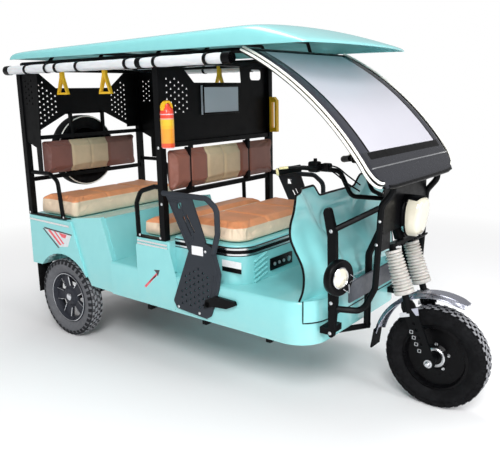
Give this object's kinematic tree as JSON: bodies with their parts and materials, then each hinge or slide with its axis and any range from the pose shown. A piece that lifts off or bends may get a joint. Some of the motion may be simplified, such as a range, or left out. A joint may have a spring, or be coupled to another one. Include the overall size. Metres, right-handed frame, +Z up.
{
  "type": "electric rickshaw",
  "caption": "Parked three-wheeled passenger rickshaw with a raked steering fork, a curved windscreen, a flat roof on tube frames, facing benches and a battery-driven rear axle.",
  "frame": {"origin": "on the ground under the middle of the object's box", "axes": "+X forward, +Y to the vehicle's left, +Z up"},
  "size_m": [2.7797, 1.0646, 1.7553],
  "materials": {
    "body": "gloss",
    "frame_paint": "satin",
    "nose": "gloss",
    "plate_grey": "satin",
    "tyre": "matte",
    "wheel_black": "satin",
    "pane": "clear",
    "lamp": "gloss",
    "pod": "gloss",
    "gaiter": "matte",
    "bright_steel": "polished",
    "seat_tan": "satin",
    "seat_brown": "satin",
    "curtain": "satin",
    "yellow": "satin",
    "red": "gloss",
    "tail_red": "gloss",
    "battery": "matte",
    "card": "satin"
  },
  "bodies": {
    "chassis": {"floor_pan": "body", "rear_seat_base": "body", "tail_panel": "body", "mid_seat_box": "body", "driver_seat_base": "body", "leg_shield": "body", "roof_shell": "body", "rear_fender_right": "body", "rear_fender_left": "body", "chassis_frame": "frame_paint", "rear_frame": "frame_paint", "mid_frame": "frame_paint", "roof_frame": "frame_paint", "windscreen_frame": "frame_paint", "tail_bar": "frame_paint", "rear_axle": "frame_paint", "front_guard_right": "frame_paint", "front_guard_left": "frame_paint", "rear_armrest_right": "frame_paint", "rear_armrest_left": "frame_paint", "mid_armrest_right": "frame_paint", "mid_armrest_left": "frame_paint", "leaf_spring_right": "frame_paint", "leaf_spring_left": "frame_paint", "nose_panel": "nose", "front_box": "plate_grey", "side_guard_right": "plate_grey", "side_guard_left": "plate_grey", "spare_wheel": "tyre", "windscreen_glass": "pane", "headlamp": "lamp", "lamp_pod_right": "pod", "lamp_pod_left": "pod", "rear_cushion": "seat_tan", "mid_cushion": "seat_tan", "driver_cushion": "seat_tan", "rear_backrest": "seat_brown", "mid_backrest": "seat_brown", "curtain_roll_right": "curtain", "curtain_roll_left": "curtain", "grab_rail_right": "yellow", "grab_rail_left": "yellow", "pillar_handle": "yellow", "extinguisher": "red", "tail_lamps": "tail_red", "battery_block": "battery", "picture_frame": "card"},
    "fork": {"fork": "frame_paint", "handlebar": "frame_paint", "front_mudguard": "bright_steel", "gaiter_right": "gaiter", "gaiter_left": "gaiter"},
    "front_wheel": {"front_tyre": "tyre", "front_rim": "wheel_black"},
    "rear_wheel_right": {"rear_right_tyre": "tyre", "rear_right_rim": "wheel_black"},
    "rear_wheel_left": {"rear_left_tyre": "tyre", "rear_left_rim": "wheel_black"}
  },
  "joints": [
    {"name": "steering", "type": "hinge", "parent": "chassis", "child": "fork", "pos_m": [1.125, 0, 0.24], "axis": [-0.314, 0, 0.9494], "range_deg": [-38, 38]},
    {"name": "front_wheel_spin", "type": "hinge", "parent": "fork", "child": "front_wheel", "pos_m": [1.15, 0, 0.24], "axis": [0, 1, 0], "continuous": true},
    {"name": "rear_wheel_right_spin", "type": "hinge", "parent": "chassis", "child": "rear_wheel_right", "pos_m": [-1, -0.427, 0.24], "axis": [0, 1, 0], "continuous": true},
    {"name": "rear_wheel_left_spin", "type": "hinge", "parent": "chassis", "child": "rear_wheel_left", "pos_m": [-1, 0.427, 0.24], "axis": [0, 1, 0], "continuous": true}
  ]
}
